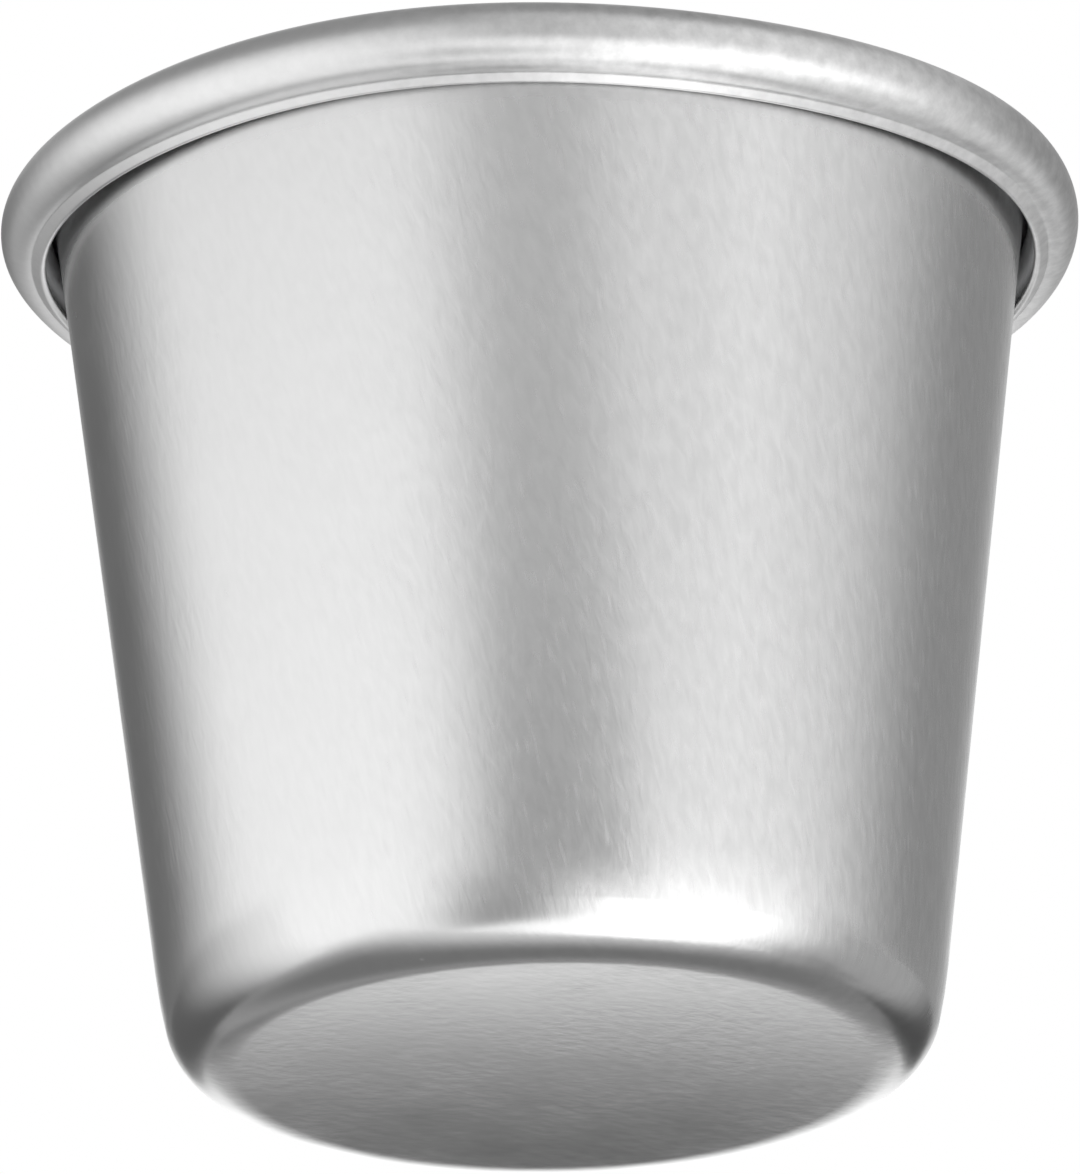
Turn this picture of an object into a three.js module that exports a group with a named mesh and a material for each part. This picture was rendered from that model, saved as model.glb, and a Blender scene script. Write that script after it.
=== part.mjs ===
// Baba mould: a deep-drawn sheet-metal cup with a tapered wall, a rounded base corner, a slightly dished
// base and a rim rolled outwards and down, stiffened by a ring of wire that lies inside the roll.
// Millimetres, +Z up. The origin is the centre of the plane that the mould stands on.

import * as THREE from 'three';

// Driving dimensions
const HEIGHT = 55; // standing plane to the top of the rolled rim
const SHEET = 0.5; // thickness of the drawn sheet
const BASE_DIAMETER = 45.4; // outside of the wall, carried down to the base plane
const TOP_DIAMETER = 58.3; // outside of the wall, at the height of the roll's centre
const CORNER_RADIUS = 4; // outside radius between base and wall
const BASE_DISH = 0.6; // how far the middle of the base is pressed up
const STANDING_RING = 1; // width of the flat ring that the mould stands on, round the dish
const WIRE_DIAMETER = 2.2; // wire inside the roll
const WIRE_CLEARANCE = 0.32; // between the wire and the sheet that is rolled round it
const WIRE_END_GAP = 0.5; // between the two cut ends of the wire
const ROLL_TURN_DEG = 85; // how far the sheet follows the roll below its outermost point
const CREASE_RADIUS = 0.45; // middle of the sheet, where the lip bends back out of the roll
const LIP_LENGTH = 0.64; // from the crease to the middle of the lip's rounded end
const LIP_LEAN_DEG = 48; // of the lip, below the horizontal

// Facets
const TURN_STEPS = 72; // round the axis
const ARC_STEP_DEG = 20; // along the profile's arcs
const WIRE_SIDES = 10;

// Finishes
const SATIN_STEEL = { color: 0xc6c6c6, roughness: 0.36, metalness: 1 };
const DRAWN_WIRE = { color: 0xa9aaab, roughness: 0.45, metalness: 1 };

// The roll: its sheet goes round the wire with a clearance, and its centre lies that far outside the wall.
const rollInside = WIRE_DIAMETER / 2 + WIRE_CLEARANCE;
const rollOutside = rollInside + SHEET;
const rollHeight = HEIGHT - rollOutside;
const taper = Math.atan2((TOP_DIAMETER - BASE_DIAMETER) / 2, rollHeight);
const rollCentre = new THREE.Vector2(TOP_DIAMETER / 2 + rollInside / Math.cos(taper), rollHeight);

// The point at a distance and an angle from a centre.
function polar(centre, distance, deg) {
  const angle = THREE.MathUtils.degToRad(deg);
  return new THREE.Vector2(Math.cos(angle), Math.sin(angle)).multiplyScalar(distance).add(centre);
}

// Points on an arc about a centre, from one angle to another, with both ends.
function arc(centre, radius, fromDeg, toDeg) {
  const steps = Math.max(2, Math.ceil(Math.abs(toDeg - fromDeg) / ARC_STEP_DEG));
  return Array.from({ length: steps + 1 }, (_, i) => {
    return polar(centre, radius, fromDeg + ((toDeg - fromDeg) * i) / steps);
  });
}

// The cup's closed profile, radius against height. It runs along the outside from the axis to the roll, through
// the roll's inner side to the lip, and back along the roll's outer side and the inside of the cup.
function cupProfile() {
  const taperDeg = THREE.MathUtils.radToDeg(taper);
  const half = SHEET / 2;

  // The corner arc is tangent to the base plane and to the tapered wall.
  const cornerInset = (CORNER_RADIUS * (1 - Math.sin(taper))) / Math.cos(taper);
  const corner = new THREE.Vector2(BASE_DIAMETER / 2 - cornerInset, CORNER_RADIUS);

  // The dish is a shallow cap of a sphere, centred far below the base, inside the standing ring.
  const dishEdge = corner.x - STANDING_RING;
  const dishRadius = (dishEdge ** 2 + BASE_DISH ** 2) / (2 * BASE_DISH);
  const dish = new THREE.Vector2(0, BASE_DISH - dishRadius);
  const dishDeg = THREE.MathUtils.radToDeg(Math.asin(dishEdge / dishRadius));

  // Under the roll the sheet bends back in a small crease, and its lip runs straight to a rounded end. Angles
  // round the crease go from the roll to the line across the lip.
  const crease = polar(rollCentre, rollInside + half + CREASE_RADIUS, -ROLL_TURN_DEG);
  const leaveDeg = 180 - ROLL_TURN_DEG;
  const acrossDeg = 90 + LIP_LEAN_DEG;
  const lip = polar(polar(crease, CREASE_RADIUS, acrossDeg), LIP_LENGTH, acrossDeg + 90);

  return [
    ...arc(dish, dishRadius, 90, 90 - dishDeg),
    ...arc(corner, CORNER_RADIUS, -90, -taperDeg),
    ...arc(rollCentre, rollInside, 180 - taperDeg, -ROLL_TURN_DEG),
    ...arc(crease, CREASE_RADIUS + half, leaveDeg, acrossDeg).slice(1),
    ...arc(lip, half, acrossDeg, acrossDeg + 180),
    ...arc(crease, CREASE_RADIUS - half, acrossDeg, leaveDeg),
    ...arc(rollCentre, rollOutside, -ROLL_TURN_DEG, 0).slice(1),
    ...arc(rollCentre, rollOutside, 0, 90).slice(1),
    ...arc(rollCentre, rollOutside, 90, 180 - taperDeg).slice(1),
    ...arc(corner, CORNER_RADIUS - SHEET, -taperDeg, -90),
    ...arc(dish, dishRadius + SHEET, 90 - dishDeg, 90),
  ];
}

// The drawn cup is its profile turned about the axis.
function drawnCup() {
  const geometry = new THREE.LatheGeometry(cupProfile(), TURN_STEPS).rotateX(Math.PI / 2);
  const mesh = new THREE.Mesh(geometry, new THREE.MeshStandardMaterial(SATIN_STEEL));
  mesh.name = 'drawn_cup';
  return mesh;
}

// Centre line of the wire: a circle that stops short of closing by the gap between the cut ends.
class WireLine extends THREE.Curve {
  getPoint(t, target = new THREE.Vector3()) {
    const gap = WIRE_END_GAP / rollCentre.x;
    const angle = Math.PI / 2 + gap / 2 + t * (2 * Math.PI - gap);
    return target.set(rollCentre.x * Math.cos(angle), rollCentre.x * Math.sin(angle), rollHeight);
  }
}

// The rim wire is a round section carried along that line, in the middle of the roll.
function rimWire() {
  const stepDeg = 360 / WIRE_SIDES;
  const section = Array.from({ length: WIRE_SIDES }, (_, i) => {
    const angle = THREE.MathUtils.degToRad(i * stepDeg);
    return new THREE.Vector2(Math.cos(angle), Math.sin(angle)).multiplyScalar(WIRE_DIAMETER / 2);
  });
  const geometry = new THREE.ExtrudeGeometry(new THREE.Shape(section), {
    steps: TURN_STEPS,
    extrudePath: new WireLine(),
    bevelEnabled: false,
  });
  const mesh = new THREE.Mesh(geometry, new THREE.MeshStandardMaterial(DRAWN_WIRE));
  mesh.name = 'rim_wire';
  return mesh;
}

const babaMould = new THREE.Group();
babaMould.add(drawnCup(), rimWire());

export default babaMould;
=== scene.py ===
"""Baba mould: a cup drawn from satin sheet steel, with a dished base and a rim rolled over a wire."""

import math

import bpy
import numpy as np
from mathutils import Matrix, Vector


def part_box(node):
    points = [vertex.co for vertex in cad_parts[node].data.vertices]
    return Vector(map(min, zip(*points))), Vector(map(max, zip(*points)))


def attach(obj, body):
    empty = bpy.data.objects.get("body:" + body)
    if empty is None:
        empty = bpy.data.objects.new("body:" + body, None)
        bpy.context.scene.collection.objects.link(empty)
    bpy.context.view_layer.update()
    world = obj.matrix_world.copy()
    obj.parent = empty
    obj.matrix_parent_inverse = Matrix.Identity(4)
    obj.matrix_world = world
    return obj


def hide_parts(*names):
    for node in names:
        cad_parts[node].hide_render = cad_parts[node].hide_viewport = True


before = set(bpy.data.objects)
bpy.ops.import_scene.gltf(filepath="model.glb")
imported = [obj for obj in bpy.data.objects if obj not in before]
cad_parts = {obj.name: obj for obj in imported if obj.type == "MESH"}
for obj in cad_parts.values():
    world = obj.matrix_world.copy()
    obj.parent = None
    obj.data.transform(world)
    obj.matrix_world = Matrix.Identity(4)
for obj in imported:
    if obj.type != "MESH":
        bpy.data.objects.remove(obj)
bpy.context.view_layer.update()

MM = 0.001

# Sizes read from the parts in model.glb
cup_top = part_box("drawn_cup")[1]
wire_low, wire_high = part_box("rim_wire")
HEIGHT = cup_top.z
WIRE_RADIUS = (wire_high.z - wire_low.z) / 2

# Sizes of the drawn cup. The foot, the base corner and the lip are finer here than in the part's source,
# which has a plain corner of 4 mm and the same lip all round. The rest agrees with it.
SHEET = 0.5 * MM
BASE_RADIUS = 22.7 * MM  # outside of the wall, carried down to the standing plane
TOP_RADIUS = 29.15 * MM  # outside of the wall, at the height of the roll's centre
FOOT_RADIUS = 32 * MM  # of the slight bend between the wall and the corner
FOOT_TURN = 6  # degrees that the wall bends there
CORNER_RADIUS = 3.5 * MM
EASE_RADIUS = 7 * MM  # of the softer bend between the corner and the base
EASE_START = -84  # degrees from the horizontal, where the corner becomes that bend
BASE_DISH = 0.6 * MM
WIRE_CLEARANCE = 0.32 * MM
WIRE_END_GAP = 0.5 * MM
WIRE_BEVEL = 0.15 * MM  # at the wire's cut ends
CREASE_RADIUS = 0.45 * MM  # middle of the sheet, where the lip bends back out of the roll
LIP_LEAN = 40  # degrees of the lip below the horizontal

# The roll at the sides, and at the front and the back, where the lip is bent nearer to the wall
ROLL_TURN = 85  # degrees that the sheet follows the roll below its outermost point
ROLL_TURN_FRONT = 106
LIP_LENGTH = 0.55 * MM  # from the crease to the middle of the lip's rounded end
LIP_LENGTH_FRONT = 0.38 * MM
ROLL_DEPTH_FRONT = 1.13  # how much deeper the roll is there, below its outermost point
FRONT_SWING = 0.47  # half of the change between the sides and the front
FRONT_WIDTH = 0.1  # how much more of the rim is shaped as the front is

# The rolled rim rises and falls a little.
RIM_WAVE = 0.16 * MM
RIM_WAVES = 4  # round the mould
RIM_WAVE_START = math.radians(110)
WAVE_FROM, WAVE_OVER = 0.75, 0.17  # shares of the height: where the wave sets in, and over how much

# Facets
TURNS = 300  # round the axis
ARC_STEP = 4  # degrees along the profile's arcs
STRETCH_STEP = 2.5 * MM  # along its straight stretches
DISH_STEPS, EASE_STEPS = 12, 6
ROLL_STEPS, CREASE_STEPS, LIP_STEPS = 24, 10, 16
WIRE_SIDES = 24

# The roll and the wall's taper follow from these sizes.
roll_inside = WIRE_RADIUS + WIRE_CLEARANCE
roll_outside = roll_inside + SHEET
roll_height = HEIGHT - roll_outside
taper = math.atan2(TOP_RADIUS - BASE_RADIUS, roll_height)
roll_radius = TOP_RADIUS + roll_inside / math.cos(taper)  # of the roll's centre, from the axis


def linear(colour):
    """An sRGB hex colour such as "#c8c8c8" as linear RGBA: each channel is undone by the sRGB curve."""
    channels = [int(colour[i:i + 2], 16) / 255 for i in (1, 3, 5)]
    return [c / 12.92 if c <= 0.04045 else ((c + 0.055) / 1.055) ** 2.4 for c in channels] + [1]


def add(tree, kind, links=(), inputs=(), **settings):
    """Adds one node, sets its properties and sockets, and links (socket, source socket) pairs into it."""
    node = tree.nodes.new(kind)
    for name, value in settings.items():
        setattr(node, name, value)
    for socket, value in inputs:
        node.inputs[socket].default_value = value
    for socket, source in links:
        tree.links.new(source, node.inputs[socket])
    return node


# Profiles

def way(angle):
    """The unit vector at an angle in degrees from the first axis."""
    return np.array([math.cos(math.radians(angle)), math.sin(math.radians(angle))])


def arc(centre, radius, start, stop, steps=None):
    """Points centre + radius (cos t, sin t), with t in even steps from start to stop, in degrees."""
    steps = steps or max(2, math.ceil(abs(stop - start) / ARC_STEP))
    t = np.radians(np.linspace(start, stop, steps + 1))
    return np.stack([centre[0] + radius * np.cos(t), centre[1] + radius * np.sin(t)], axis=1)


def stretch(start, stop):
    """Points in even steps on the straight line between two points, without its ends."""
    steps = math.ceil(math.dist(start, stop) / STRETCH_STEP)
    share = np.linspace(0, 1, steps + 1)[1:-1, None]
    return (1 - share) * np.array(start) + share * np.array(stop)


def rim_wave(angle):
    """How far the rolled rim lies above its mean height: a cosine of the angle from the right side."""
    return RIM_WAVE * np.cos(RIM_WAVES * (angle + RIM_WAVE_START))


def cup_outline(front):
    """The cup's closed outline, radius against height: from the axis along the outside to the roll, through
    the roll's inner side to the lip, and back along the roll's outer side and the inside of the cup to the
    axis. The lip's shape goes from that at the sides to that at the front as front goes from 0 to 1."""
    lean = math.degrees(taper)
    half = SHEET / 2

    # The wall bends slightly at its foot before the corner, and the corner eases into the base on a wider
    # bend, which touches the standing plane. Each arc is tangent to the next.
    foot = math.radians(FOOT_TURN)
    corner_height = EASE_RADIUS + (EASE_RADIUS - CORNER_RADIUS) * math.sin(math.radians(EASE_START))
    inset = (FOOT_RADIUS * (1 - math.cos(foot)) + CORNER_RADIUS * math.cos(foot)
             - corner_height * math.sin(taper))
    corner = np.array([BASE_RADIUS - inset / math.cos(taper), corner_height])
    joint = -lean - FOOT_TURN
    foot_centre = corner + (CORNER_RADIUS - FOOT_RADIUS) * way(joint)
    ease = corner + (CORNER_RADIUS - EASE_RADIUS) * way(EASE_START)

    # The dish is a shallow cap of a sphere that the wider bend runs into.
    slope = 2 * math.atan2(BASE_DISH, ease[0])
    dish_edge = ease[0] - EASE_RADIUS * math.sin(slope)
    dish_radius = dish_edge / math.sin(slope)
    dish = np.array([0, EASE_RADIUS * (1 - math.cos(slope)) - dish_radius * math.cos(slope)])
    dish_share = np.linspace(0, slope, DISH_STEPS + 1)[:, None]
    dish_way = np.concatenate([np.sin(dish_share), np.cos(dish_share)], axis=1)

    # Under the roll the sheet bends back in a small crease, and its lip runs straight to a rounded end.
    roll = np.array([roll_radius, roll_height])
    followed = ROLL_TURN + (ROLL_TURN_FRONT - ROLL_TURN) * front
    lip_length = LIP_LENGTH + (LIP_LENGTH_FRONT - LIP_LENGTH) * front
    depth = 1 + (ROLL_DEPTH_FRONT - 1) * front
    across = 90 + LIP_LEAN
    crease = roll + (roll_inside + half + CREASE_RADIUS) * way(-followed)
    lip = crease + CREASE_RADIUS * way(across) + lip_length * way(across + 90)

    base_end = -90 - math.degrees(slope)
    outer_corner = np.concatenate([
        arc(ease, EASE_RADIUS, base_end, EASE_START, EASE_STEPS)[1:-1],
        arc(corner, CORNER_RADIUS, EASE_START, joint)[:-1],
        arc(foot_centre, FOOT_RADIUS, joint, -lean),
    ])
    inner_corner = np.concatenate([
        arc(foot_centre, FOOT_RADIUS - SHEET, -lean, joint),
        arc(corner, CORNER_RADIUS - SHEET, joint, EASE_START)[1:],
        arc(ease, EASE_RADIUS - SHEET, EASE_START, base_end, EASE_STEPS)[1:-1],
    ])
    roll_inner = arc(roll, roll_inside, 180 - lean, 0)
    roll_outer = arc(roll, roll_outside, 90, 180 - lean)
    under_roll = np.concatenate([
        arc(roll, roll_inside, 0, -followed, ROLL_STEPS)[1:],
        arc(crease, CREASE_RADIUS + half, 180 - followed, across, CREASE_STEPS)[1:],
        arc(lip, half, across, across + 180, LIP_STEPS),
        arc(crease, CREASE_RADIUS - half, across, 180 - followed, CREASE_STEPS),
        arc(roll, roll_outside, -followed, 0, ROLL_STEPS)[1:],
    ])
    under_roll[:, 1] = roll_height + (under_roll[:, 1] - roll_height) * depth
    return np.concatenate([
        dish + dish_radius * dish_way,
        outer_corner,
        stretch(outer_corner[-1], roll_inner[0]),
        roll_inner,
        under_roll,
        arc(roll, roll_outside, 0, 90)[1:],
        roll_outer[1:],
        stretch(roll_outer[-1], inner_corner[0]),
        inner_corner,
        dish + (dish_radius + SHEET) * dish_way[::-1],
    ])


# Pieces

def new_mesh(name, points, faces):
    """A smooth mesh object at the origin, from an array of points and lists of faces."""
    mesh = bpy.data.meshes.new(name)
    mesh.from_pydata(points.tolist(), [], faces)
    mesh.polygons.foreach_set("use_smooth", np.ones(len(mesh.polygons), bool))
    mesh.update()
    piece = bpy.data.objects.new(name, mesh)
    bpy.context.collection.objects.link(piece)
    return piece


def grid_faces(rows, columns):
    """Quads of a grid of points numbered row by row, with its last column joined to its first."""
    i, j = np.meshgrid(np.arange(rows - 1), np.arange(columns), indexing="ij")
    here, beside = i * columns + j, i * columns + (j + 1) % columns
    return np.stack([here, beside, beside + columns, here + columns], axis=-1).reshape(-1, 4)


def fan_faces(pole, ring):
    """Triangles from one pole to each pair of neighbours on a closed ring of point numbers."""
    return np.stack([np.full(len(ring), pole), ring, np.roll(ring, -1)], axis=1)


def lay_flat(piece, columns, along, across):
    """Texture coordinates in metres, for a piece made of a grid and two fans: across runs round the grid's
    columns, with one more value than columns so that the last column ends where the sheet of texture does,
    and along runs over its rows. The fans keep the rows that they touch."""
    rows = len(along)
    i, j = np.meshgrid(np.arange(rows - 1), np.arange(columns), indexing="ij")
    corners = np.stack([np.stack([across[j + dj], along[i + di]], axis=-1)
                        for di, dj in ((0, 0), (0, 1), (1, 1), (1, 0))], axis=2).reshape(-1, 2)
    side = np.arange(columns)
    fans = [np.stack([np.stack([across[side + dj], np.full(columns, row)], axis=-1)
                      for dj in (0, 0, 1)], axis=1)
            for row in (along[0], along[-1])]
    layer = piece.data.uv_layers.new(name="flat")
    flat = np.concatenate([corners, fans[0].reshape(-1, 2), fans[1].reshape(-1, 2)])
    layer.data.foreach_set("uv", flat.ravel())


def drawn_cup():
    """Surface of revolution: point (i, j) is (r cos a_j, r sin a_j, z), where (r, z) is point i of the
    outline at the angle a_j, which goes evenly round the axis from the back. The outline changes with the
    angle only at the rim and just below it: the lip's gap is smallest at the front and the back, and the
    roll rises and falls. The outline's two ends become single points."""
    angle = math.pi / 2 + np.arange(TURNS + 1) * (2 * math.pi / TURNS)
    side = angle[:-1]
    front = 0.5 - FRONT_SWING * np.cos(2 * side) + FRONT_WIDTH * (1 - np.cos(4 * side)) / 2
    outlines = np.stack([cup_outline(share) for share in front], axis=1)
    radius, height = outlines[1:-1, :, 0], outlines[1:-1, :, 1]
    height = height + rim_wave(side) * np.clip((height / HEIGHT - WAVE_FROM) / WAVE_OVER, 0, 1)
    rings = np.stack([radius * np.cos(side), radius * np.sin(side), height], axis=-1)
    outline = outlines[:, 0]
    poles = [[0, 0, outline[0, 1]], [0, 0, outline[-1, 1]]]
    points = np.concatenate([rings.reshape(-1, 3), poles])
    count = len(points) - 2
    faces = grid_faces(len(rings), TURNS).tolist()
    faces += fan_faces(count, np.arange(TURNS))[:, ::-1].tolist()
    faces += fan_faces(count + 1, np.arange(count - TURNS, count)).tolist()
    piece = new_mesh("satin_cup", points, faces)
    length = np.cumsum(np.linalg.norm(np.diff(outline, axis=0), axis=1))[:-1]
    lay_flat(piece, TURNS, length, angle * (BASE_RADIUS + TOP_RADIUS) / 2)
    return piece


def rim_wire():
    """Tube round a circle: point (i, j) is the circle's point at angle a_i plus a section of radius s_i
    turned by b_j. The section is smaller at both ends, which bevels them, and a fan of triangles closes
    each end. The circle rises and falls with the rim."""
    gap = WIRE_END_GAP / roll_radius
    first, last = math.pi / 2 + gap / 2, 5 * math.pi / 2 - gap / 2
    edge = WIRE_BEVEL / roll_radius
    angle = np.concatenate([[first], np.linspace(first + edge, last - edge, TURNS + 1), [last]])
    section = np.full(len(angle), WIRE_RADIUS)
    section[[0, -1]] -= WIRE_BEVEL
    turn = np.arange(WIRE_SIDES + 1) * (2 * math.pi / WIRE_SIDES)
    out = roll_radius + section[:, None] * np.cos(turn[:-1])
    height = roll_height + rim_wave(angle)[:, None] + section[:, None] * np.sin(turn[:-1])
    rings = np.stack([out * np.cos(angle)[:, None], out * np.sin(angle)[:, None], height], axis=-1)
    ends = [[roll_radius * math.cos(a), roll_radius * math.sin(a), roll_height + rim_wave(a)]
            for a in (first, last)]
    points = np.concatenate([rings.reshape(-1, 3), ends])
    count = len(points) - 2
    faces = grid_faces(len(rings), WIRE_SIDES)[:, ::-1].tolist()
    faces += fan_faces(count, np.arange(WIRE_SIDES)).tolist()
    faces += fan_faces(count + 1, np.arange(count - WIRE_SIDES, count))[:, ::-1].tolist()
    piece = new_mesh("rim_wire_ring", points, faces)
    lay_flat(piece, WIRE_SIDES, angle * roll_radius, turn * WIRE_RADIUS)
    return piece


# Materials

# Sockets of a mix node: its factor, its two values, its two colours and the mixed colour
FACTOR, FIRST, SECOND = 0, 2, 3
FIRST_COLOUR, SECOND_COLOUR, MIXED_COLOUR = 6, 7, 2


def metal(name, colour):
    """A bare metal, with its tree of nodes and its shader."""
    material = bpy.data.materials.new(name)
    material.use_nodes = True
    tree = material.node_tree
    shader = tree.nodes["Principled BSDF"]
    shader.inputs["Metallic"].default_value = 1
    shader.inputs["Base Color"].default_value = linear(colour)
    return material, tree, shader


def satin_steel():
    """Sheet steel, rolled satin and drawn, then rubbed in use, most on its right side. The eye sees soft
    reflections, broken by short leaning streaks and duller scuffs where they change from light to dark, and
    a few small nicks. The rolled rim is duller and pitted, and the base shows the grain of the sheet."""
    material, tree, shader = metal("satin_steel", "#e1e1e1")
    place = add(tree, "ShaderNodeTexCoord")
    axes = add(tree, "ShaderNodeSeparateXYZ", links=[(0, place.outputs["Object"])])

    # Where the rim and the base begin, each over a millimetre or two of height
    on_rim = add(tree, "ShaderNodeMapRange", links=[("Value", axes.outputs["Z"])],
                 inputs=[("From Min", 49.5 * MM), ("From Max", 51 * MM)])
    on_base = add(tree, "ShaderNodeMapRange", links=[("Value", axes.outputs["Z"])],
                  inputs=[("From Min", 2.5 * MM), ("From Max", 0.7 * MM)])

    # The right side is more worn than the left one.
    side = add(tree, "ShaderNodeMapRange", links=[("Value", axes.outputs["X"])],
               inputs=[("From Min", -14 * MM), ("From Max", 8 * MM), ("To Min", 0.25), ("To Max", 1)])

    # Clouds about 7 mm across, where the marks are deeper
    clouds = add(tree, "ShaderNodeTexNoise", links=[("Vector", place.outputs["Object"])],
                 inputs=[("Scale", 1 / (7 * MM)), ("Detail", 4), ("Roughness", 0.6)])
    deep = add(tree, "ShaderNodeMapRange", links=[("Value", clouds.outputs[0])],
               inputs=[("From Min", 0.42), ("From Max", 0.62), ("To Min", 0.4), ("To Max", 1)])

    # Rubbed streaks of the wall, 0.55 mm wide and 1.6 mm long, that lean 14 degrees
    streak_lines = add(tree, "ShaderNodeMapping", vector_type="TEXTURE",
                       links=[("Vector", place.outputs["UV"])],
                       inputs=[("Rotation", (0, 0, math.radians(14))),
                               ("Scale", (0.55 * MM, 1.6 * MM, 1))])
    streaks = add(tree, "ShaderNodeTexNoise", links=[("Vector", streak_lines.outputs[0])],
                  inputs=[("Scale", 1), ("Detail", 2), ("Roughness", 0.45), ("Distortion", 0.35)])

    # Grain of the sheet on the base, 0.8 mm wide and 1.2 mm long, a little shallower than the streaks
    base_lines = add(tree, "ShaderNodeMapping", vector_type="TEXTURE",
                     links=[("Vector", place.outputs["Object"])],
                     inputs=[("Rotation", (0, 0, math.radians(-50))),
                             ("Scale", (0.8 * MM, 1.2 * MM, 1))])
    grain = add(tree, "ShaderNodeTexNoise", links=[("Vector", base_lines.outputs[0])],
                inputs=[("Scale", 1), ("Detail", 3), ("Roughness", 0.6)])
    flakes = add(tree, "ShaderNodeMapRange", links=[("Value", grain.outputs[0])],
                 inputs=[("To Min", 0.06), ("To Max", 0.94)])

    # Pits on the rolled rim, up to 0.9 mm across
    pits = add(tree, "ShaderNodeTexNoise", links=[("Vector", place.outputs["Object"])],
               inputs=[("Scale", 1 / (0.9 * MM)), ("Detail", 3), ("Roughness", 0.6)])

    # Marks: the base's grain, the wall's streaks and the rim's pits, up to 0.016 mm deep
    low = add(tree, "ShaderNodeMix",
              links=[(FACTOR, on_base.outputs[0]),
                     (FIRST, streaks.outputs[0]), (SECOND, flakes.outputs[0])])
    marks = add(tree, "ShaderNodeMix",
                links=[(FACTOR, on_rim.outputs[0]),
                       (FIRST, low.outputs[0]), (SECOND, pits.outputs[0])])
    fine = add(tree, "ShaderNodeBump", links=[("Height", marks.outputs[0]), ("Strength", deep.outputs[0])],
               inputs=[("Distance", 0.016 * MM)])

    # A thin film lies unevenly on the metal, most on the rim, so the marks are a little darker or lighter.
    thick = add(tree, "ShaderNodeMapRange", links=[("Value", on_rim.outputs[0])],
                inputs=[("To Min", 0.34), ("To Max", 0.8)])
    patchy = add(tree, "ShaderNodeMath", operation="MULTIPLY",
                 links=[(0, thick.outputs[0]), (1, side.outputs[0])])
    spread = add(tree, "ShaderNodeMapRange", links=[("Value", marks.outputs[0])],
                 inputs=[("From Min", 0.3), ("From Max", 0.7)])
    shade = add(tree, "ShaderNodeMix", links=[(FACTOR, patchy.outputs[0]), (SECOND, spread.outputs[0])],
                inputs=[(FIRST, 0.5)])
    film = add(tree, "ShaderNodeMix", data_type="RGBA", links=[(FACTOR, shade.outputs[0])],
               inputs=[(FIRST_COLOUR, linear("#d2d2d2")), (SECOND_COLOUR, linear("#eeeeee"))])
    tree.links.new(film.outputs[MIXED_COLOUR], shader.inputs["Base Color"])

    # Scuffs on the wall, 0.3 mm wide and 1.6 mm long, that lean 12 degrees and are duller
    scuff_lines = add(tree, "ShaderNodeMapping", vector_type="TEXTURE",
                      links=[("Vector", place.outputs["UV"])],
                      inputs=[("Rotation", (0, 0, math.radians(12))),
                              ("Scale", (0.3 * MM, 1.6 * MM, 1))])
    scuffs = add(tree, "ShaderNodeTexNoise", links=[("Vector", scuff_lines.outputs[0])],
                 inputs=[("Scale", 1), ("Detail", 0)])
    on_wall = add(tree, "ShaderNodeMath", operation="SUBTRACT", inputs=[(0, 1)],
                  links=[(1, on_base.outputs[0])])
    rubbed = add(tree, "ShaderNodeMath", operation="MULTIPLY",
                 links=[(0, on_wall.outputs[0]), (1, side.outputs[0])])
    peaks = add(tree, "ShaderNodeMapRange", interpolation_type="SMOOTHSTEP",
                links=[("Value", scuffs.outputs[0]), ("To Max", rubbed.outputs[0])],
                inputs=[("From Min", 0.5), ("From Max", 1)])

    # Nicks about 0.3 mm across and 0.03 mm deep, at most one in a patch of 8 mm
    nicks = add(tree, "ShaderNodeTexVoronoi", links=[("Vector", place.outputs["Object"])],
                inputs=[("Scale", 1 / (8 * MM))])
    dents = add(tree, "ShaderNodeMapRange", links=[("Value", nicks.outputs["Distance"])],
                inputs=[("From Min", 0.008), ("From Max", 0.026)])
    dented = add(tree, "ShaderNodeBump", links=[("Height", dents.outputs[0]), ("Normal", fine.outputs[0])],
                 inputs=[("Strength", 1), ("Distance", 0.03 * MM)])
    tree.links.new(dented.outputs[0], shader.inputs["Normal"])

    # Roughness: the wall and the base with their clouds, then the duller rim and scuffs
    rim_roughness, scuff_roughness = 0.38, 0.38
    worn = add(tree, "ShaderNodeMapRange", links=[("Value", clouds.outputs[0])],
               inputs=[("From Min", 0.3), ("From Max", 0.7), ("To Min", 0.2), ("To Max", 0.26)])
    rough = add(tree, "ShaderNodeMix", links=[(FACTOR, on_rim.outputs[0]), (FIRST, worn.outputs[0])],
                inputs=[(SECOND, rim_roughness)])
    dull = add(tree, "ShaderNodeMix", links=[(FACTOR, peaks.outputs[0]), (FIRST, rough.outputs[0])],
               inputs=[(SECOND, scuff_roughness)])
    tree.links.new(dull.outputs[0], shader.inputs["Roughness"])
    return material


def drawn_wire():
    """Iron wire, drawn through a die and left dull. The eye sees a grey tube with faint lines along it,
    0.1 mm wide and 4 mm long."""
    material, tree, shader = metal("drawn_wire", "#d0d1d2")
    place = add(tree, "ShaderNodeTexCoord")
    lines = add(tree, "ShaderNodeMapping", vector_type="TEXTURE", links=[("Vector", place.outputs["UV"])],
                inputs=[("Scale", (0.1 * MM, 4 * MM, 1))])
    drawn = add(tree, "ShaderNodeTexNoise", links=[("Vector", lines.outputs[0])], inputs=[("Scale", 1)])
    rough = add(tree, "ShaderNodeMapRange", links=[("Value", drawn.outputs[0])],
                inputs=[("To Min", 0.5), ("To Max", 0.7)])
    tree.links.new(rough.outputs[0], shader.inputs["Roughness"])
    bump = add(tree, "ShaderNodeBump", links=[("Height", drawn.outputs[0])],
               inputs=[("Distance", 0.01 * MM)])
    tree.links.new(bump.outputs[0], shader.inputs["Normal"])
    return material


cup = drawn_cup()
cup.data.materials.append(satin_steel())
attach(cup, "root")
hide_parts("drawn_cup")

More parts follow.
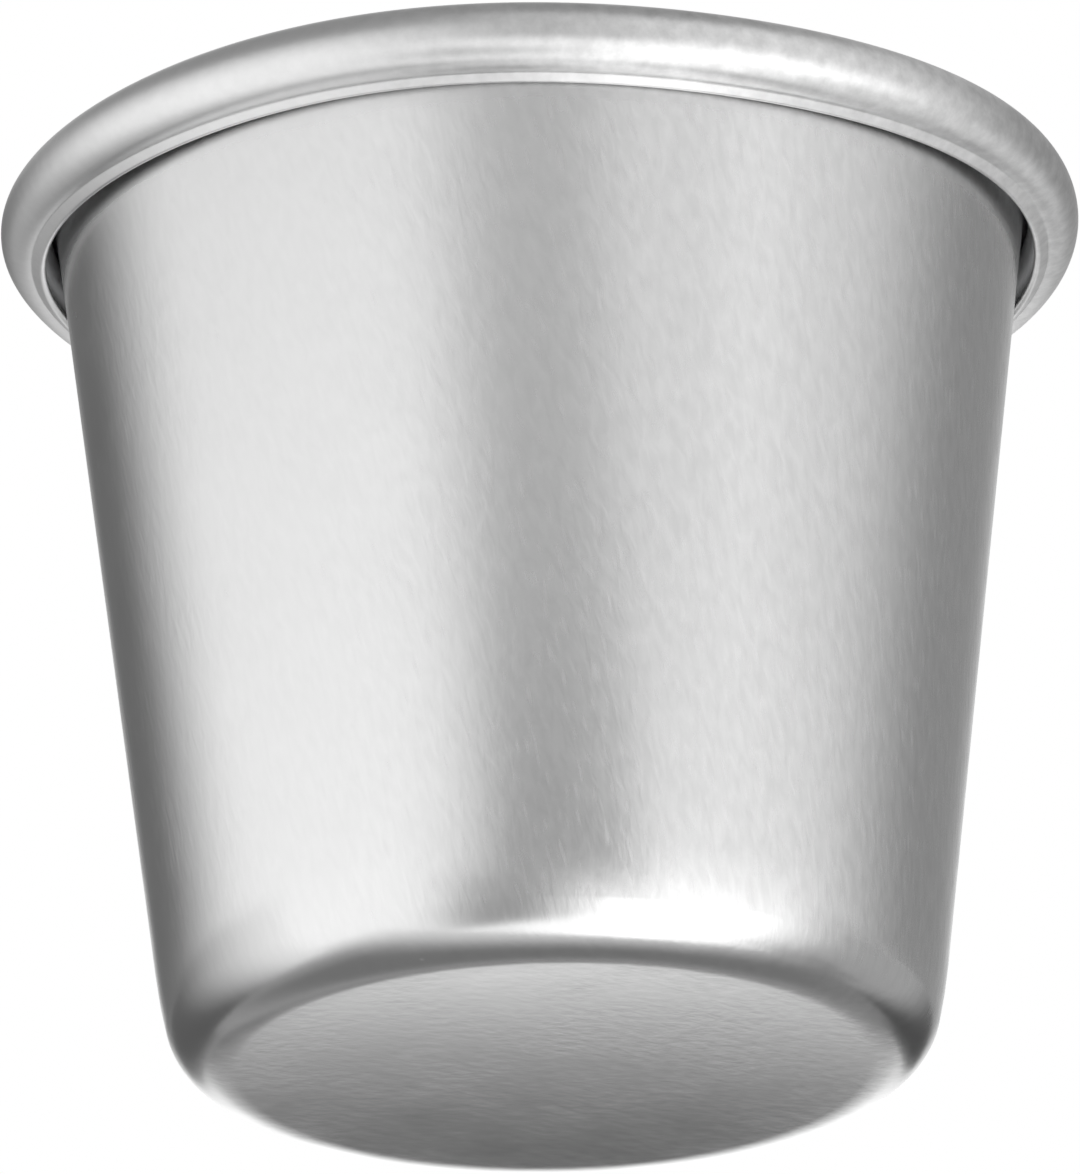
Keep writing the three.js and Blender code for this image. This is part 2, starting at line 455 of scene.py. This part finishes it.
wire = rim_wire()
wire.data.materials.append(drawn_wire())
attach(wire, "root")
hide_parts("rim_wire")


# Stage

SURROUND_CENTRE = np.array([0, 0, HEIGHT / 2])
SURROUND_RADIUS = 0.25
SURROUND_ROWS, SURROUND_COLUMNS = 120, 180

# What the metal mirrors, on a white surround: each panel's azimuth and elevation range in degrees, where
# azimuth 0 is the front and 90 the right, the widths of its soft borders, and its brightness. Later panels
# lie over earlier ones.
PANELS = {
    "overhead flag": ((-181, 181), (52, 135), (1, 36), 0.31),
    "left upper flag": ((-150, -10), (27, 90), (30, 32), 0.31),
    "right upper flag": ((22, 110), (2, 50), (25, 16), 0.82),
    "right strip": ((41, 59), (-30, 50), (18, 20), 0.97),
    "left panel": ((-100, -30), (-75, 6), (30, 26), 1.21),
    "upper key": ((28, 76), (-40, -5), (22, 14), 1.5),
    "key panel": ((13, 80), (-88, -15), (22, 16), 1.8),
    "front panel": ((-18, 18), (-90, -22), (18, 26), 1.45),
    "front flag": ((-19, 16), (-5, 60), (26, 14), 0.58),
    "camera shade": ((-14, 22), (-8, 2), (16, 9), 0.3),
    "back left low flag": ((-175, -113), (-80, 0), (46, 16), 0.43),
    "back left flag": ((-175, -113), (0, 32), (46, 16), 0.15),
    "back right flag": ((93, 165), (-18, 50), (52, 25), 0.3),
    "right low flag": ((108, 165), (-80, -12), (36, 16), 0.75),
    "under side flag": ((110, 250), (-95, -55), (30, 12), 0.12),
    "under back flag": ((148, 212), (-80, -20.6), (30, 12), 0.1),
    "back left glow": ((184, 214), (-60, -32), (8, 10), 0.28),
    "back right glow": ((158, 176), (-26, -10), (7, 4), 0.6),
    "back horizon": ((164, 196), (-19, 22), (16, 16), 1.4),
}

# Cards that stand or lie near the mould's foot: the ends of each card's near edge and of its far edge in
# millimetres, the share of it that each soft border takes, the brightness of the borders at its first and
# its last end, that of its middle, and the share of the borders' brightness that comes back at the far
# edge.
CARD_STEPS = 12
FAR_START, FAR_SOFT = 0.75, 0.5  # where that comes back, and over how much, as shares of the way there
PAST_EDGE = 2  # beyond the far edge, so that a window has no border there
CARDS = {
    "front_card": (((-60, -50, -140), (22, -72, -48)), ((-56, -81, 6), (26, -81, -3)),
                   0.44, (1.15, 1.6), 0.4, 0),
    "base_card": (((-36, -38, -20), (46, -7, -20)), ((-67, 31, -20), (46, 35, -20)),
                  0.24, (1.1, 0.25), 0.21, 0.35),
    "right_card": (((52, -29, -60), (52, 33, -60)), ((34.5, -29, 4), (34.5, 33, 4)),
                   0.3, (1.4, 0.6), 0.42, 0),
    "right_back_card": (((34, 2, -40), (34, 60, -40)), ((34, 2, 4), (34, 60, 4)),
                        0.3, (0.45, 0.08), 0.08, 0),
    "left_card": (((-36, -20, -60), (-36, 70, -60)), ((-36, -20, 7), (-36, 70, 7)),
                  0.36, (1.1, 0.2), 0.12, 0),
    "right_shelf": (((34, -45, 4), (34, 40, 4)), ((110, -45, -10), (110, 40, -10)),
                    0.44, (1.25, 0.6), 0.85, 0),
}


def soft_window(value, low, high, soft):
    """1 between low and high and 0 outside, with a smooth step of the given width across each border."""
    rise = np.clip(np.minimum(value - low, high - value) / soft + 0.5, 0, 1)
    return rise ** 2 * (3 - 2 * rise)


def panel_light(azimuth, elevation):
    """Brightness by direction: white, then each panel laid over what is under it, as its window shows."""
    light = np.ones_like(azimuth)
    for (left, right), (low, high), (soft_side, soft_end), level in PANELS.values():
        middle = (left + right) / 2
        turned = (azimuth - middle + 180) % 360 - 180 + middle
        shown = soft_window(turned, left, right, soft_side) * soft_window(elevation, low, high, soft_end)
        light = light * (1 - shown) + level * shown
    return light


def glow_by_level():
    """A material that glows as brightly as the surface's own level says."""
    material = bpy.data.materials.new("studio_panels")
    material.use_nodes = True
    tree = material.node_tree
    tree.nodes.clear()
    brightness = add(tree, "ShaderNodeAttribute", attribute_name="level")
    glow = add(tree, "ShaderNodeEmission", links=[("Strength", brightness.outputs["Fac"])])
    add(tree, "ShaderNodeOutputMaterial", links=[("Surface", glow.outputs[0])])
    return material


def only_mirrored(sheet, levels, material):
    """Gives a sheet of the stage its brightness at each point, and hides it from all but reflections."""
    sheet.data.attributes.new("level", "FLOAT", "POINT").data.foreach_set("value", levels.ravel())
    for ray in ("camera", "diffuse", "shadow", "transmission"):
        setattr(sheet, "visible_" + ray, False)
    sheet.data.materials.append(material)


def studio_surround(material):
    """Sphere round the mould: point (i, j) lies at elevation e_i and azimuth a_j, and carries the panels'
    brightness there."""
    turn = np.arange(SURROUND_COLUMNS) * (360 / SURROUND_COLUMNS)
    elevation, azimuth = np.meshgrid(np.linspace(-90, 90, SURROUND_ROWS), turn, indexing="ij")
    e, a = np.radians(elevation), np.radians(azimuth)
    outward = np.stack([np.cos(e) * np.sin(a), -np.cos(e) * np.cos(a), np.sin(e)], axis=-1).reshape(-1, 3)
    faces = grid_faces(SURROUND_ROWS, SURROUND_COLUMNS).tolist()
    surround = new_mesh("studio_surround", SURROUND_CENTRE + SURROUND_RADIUS * outward, faces)
    only_mirrored(surround, panel_light(azimuth, elevation), material)


def low_card(name, material, near, far, soft, edge_levels, level, far_share):
    """The patch between two edges: point (u, v), with u and v from 0 to 1, lies at the share v of the way
    from the near edge's point u to the far edge's point u. Its middle has one level, which runs up to the
    far edge or goes part of the way back to the borders' level there. The other borders go softly over to
    what lies behind the card, from the first level at u = 0 to the second at u = 1."""
    share = np.linspace(0, 1, CARD_STEPS + 1)
    v, u = np.meshgrid(share, share, indexing="ij")
    edges = [np.array(a) + u[..., None] * (np.array(b) - np.array(a)) for a, b in (near, far)]
    points = edges[0] + v[..., None] * (edges[1] - edges[0])
    i, j = np.meshgrid(np.arange(CARD_STEPS), np.arange(CARD_STEPS), indexing="ij")
    row = CARD_STEPS + 1
    here = (i * row + j).ravel()
    faces = np.stack([here, here + 1, here + row + 1, here + row], axis=1).tolist()
    card = new_mesh(name, points.reshape(-1, 3) * MM, faces)
    middle = soft_window(u, soft / 2, 1 - soft / 2, soft) * soft_window(v, soft / 2, PAST_EDGE, soft)
    border = edge_levels[0] * (1 - u) + edge_levels[1] * u
    inner = level + far_share * (border - level) * soft_window(v, FAR_START, PAST_EDGE, FAR_SOFT)
    only_mirrored(card, border * (1 - middle) + inner * middle, material)


panels = glow_by_level()
studio_surround(panels)
for name, card in CARDS.items():
    low_card(name, panels, *card)


def pale_floor():
    """A square under the mould, clear from below and to the metal's reflections, which keeps the mould's
    shadow."""
    half, drop = 0.8, 0.05 * MM
    points = np.array([[x, y, -drop] for x in (-half, half) for y in (-half, half)])
    floor = new_mesh("pale_floor", points, [[0, 2, 3, 1]])
    floor.visible_glossy = False
    material = bpy.data.materials.new("pale_floor")
    material.use_nodes = True
    tree = material.node_tree
    tree.nodes.clear()
    geometry = add(tree, "ShaderNodeNewGeometry")
    paint = add(tree, "ShaderNodeBsdfDiffuse", inputs=[("Color", linear("#f4f4f4"))])
    clear = add(tree, "ShaderNodeBsdfTransparent")
    mix = add(tree, "ShaderNodeMixShader",
              links=[(0, geometry.outputs["Backfacing"]), (1, paint.outputs[0]), (2, clear.outputs[0])])
    add(tree, "ShaderNodeOutputMaterial", links=[("Surface", mix.outputs[0])])
    floor.data.materials.append(material)


pale_floor()


def white_world():
    """A white surround for the camera and for reflections, and a plain soft light for everything else."""
    world = bpy.data.worlds.new("white_world")
    world.use_nodes = True
    tree = world.node_tree
    tree.nodes.clear()
    path = add(tree, "ShaderNodeLightPath")
    seen = add(tree, "ShaderNodeMath", operation="MAXIMUM",
               links=[(0, path.outputs["Is Camera Ray"]), (1, path.outputs["Is Glossy Ray"])])
    shown = add(tree, "ShaderNodeMath", operation="MAXIMUM",
                links=[(0, seen.outputs[0]), (1, path.outputs["Is Transmission Ray"])])
    plain = add(tree, "ShaderNodeBackground", inputs=[("Color", linear("#ffffff")), ("Strength", 0.8)])
    white = add(tree, "ShaderNodeBackground", inputs=[("Color", linear("#ffffff")), ("Strength", 1)])
    mix = add(tree, "ShaderNodeMixShader",
              links=[(0, shown.outputs[0]), (1, plain.outputs[0]), (2, white.outputs[0])])
    add(tree, "ShaderNodeOutputWorld", links=[("Surface", mix.outputs[0])])
    bpy.context.scene.world = world


white_world()

# Camera: it looks up at the mould from the front, a little tilted, as the photo does.
IMAGE_WIDTH, IMAGE_HEIGHT = 1080, 1174
FOCAL_PIXELS = 13403
SENSOR_WIDTH = 36
LOOK_UP = 20.69  # degrees
TILT = -0.95  # degrees
DISTANCE = 0.8
AIM = Vector((-0.34, -0.92, 29.96)) * MM


def photo_camera():
    """A camera at the given distance from the point that it aims at, along the line that it looks up."""
    lens = bpy.data.cameras.new("photo_camera")
    lens.sensor_width = SENSOR_WIDTH
    lens.lens = FOCAL_PIXELS / max(IMAGE_WIDTH, IMAGE_HEIGHT) * lens.sensor_width
    lens.clip_start = 0.05
    camera = bpy.data.objects.new("photo_camera", lens)
    bpy.context.collection.objects.link(camera)
    look = Vector((0, math.cos(math.radians(LOOK_UP)), math.sin(math.radians(LOOK_UP))))
    turn = look.to_track_quat("-Z", "Y").to_matrix().to_4x4() @ Matrix.Rotation(math.radians(TILT), 4, "Z")
    camera.matrix_world = Matrix.Translation(AIM - DISTANCE * look) @ turn
    bpy.context.scene.camera = camera


photo_camera()

bpy.context.scene.view_settings.view_transform = "Standard"
